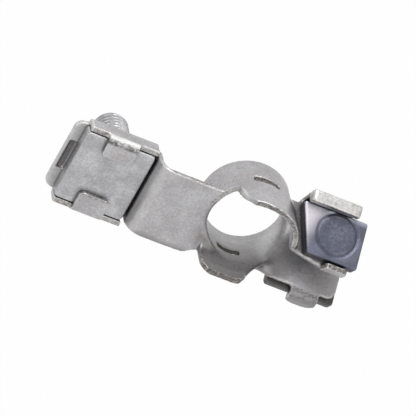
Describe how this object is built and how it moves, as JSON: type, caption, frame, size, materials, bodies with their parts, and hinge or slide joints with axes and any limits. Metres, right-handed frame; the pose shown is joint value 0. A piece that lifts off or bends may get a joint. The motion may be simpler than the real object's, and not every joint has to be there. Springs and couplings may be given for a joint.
{
  "type": "battery terminal clamp",
  "caption": "Stamped battery terminal clamp: split ring for a tapered post, inclined clamp bolt with nut across its ears, and a folded box that holds a cable stud.",
  "frame": {"origin": "on the axis of the post ring, in the plane of the strap's underside", "axes": "+X along the strap from the stud to the clamp bolt, +Z out of the underside, where the post enters the ring, so the stud points along -Z"},
  "size_m": [0.0687, 0.0267, 0.0361],
  "materials": {
    "plated_brass": "satin tin plating over stamped brass sheet",
    "plated_steel": "satin zinc plating",
    "dark_steel": "satin dark blue-grey plating"
  },
  "bodies": {
    "terminal": {"terminal_body": "plated_brass", "terminal_stud": "plated_steel", "clamp_bolt": "dark_steel", "backing_plate": "plated_steel"},
    "washer": {"clamp_washer": "dark_steel"},
    "nut": {"clamp_nut": "dark_steel"}
  },
  "joints": [
    {"name": "nut_travel", "type": "slide", "parent": "terminal", "child": "washer", "axis": [0, -0.7071, -0.7071], "range_m": [0, 0.003]},
    {"name": "nut_turn", "type": "hinge", "parent": "washer", "child": "nut", "pos_m": [0.0182, -0.00637, -0.01069], "axis": [0, -0.7071, -0.7071], "range_deg": [0, 1080]}
  ],
  "couplings": [
    {"joint": "nut_turn", "follows": "nut_travel", "rad_per_m": 6283.2}
  ]
}
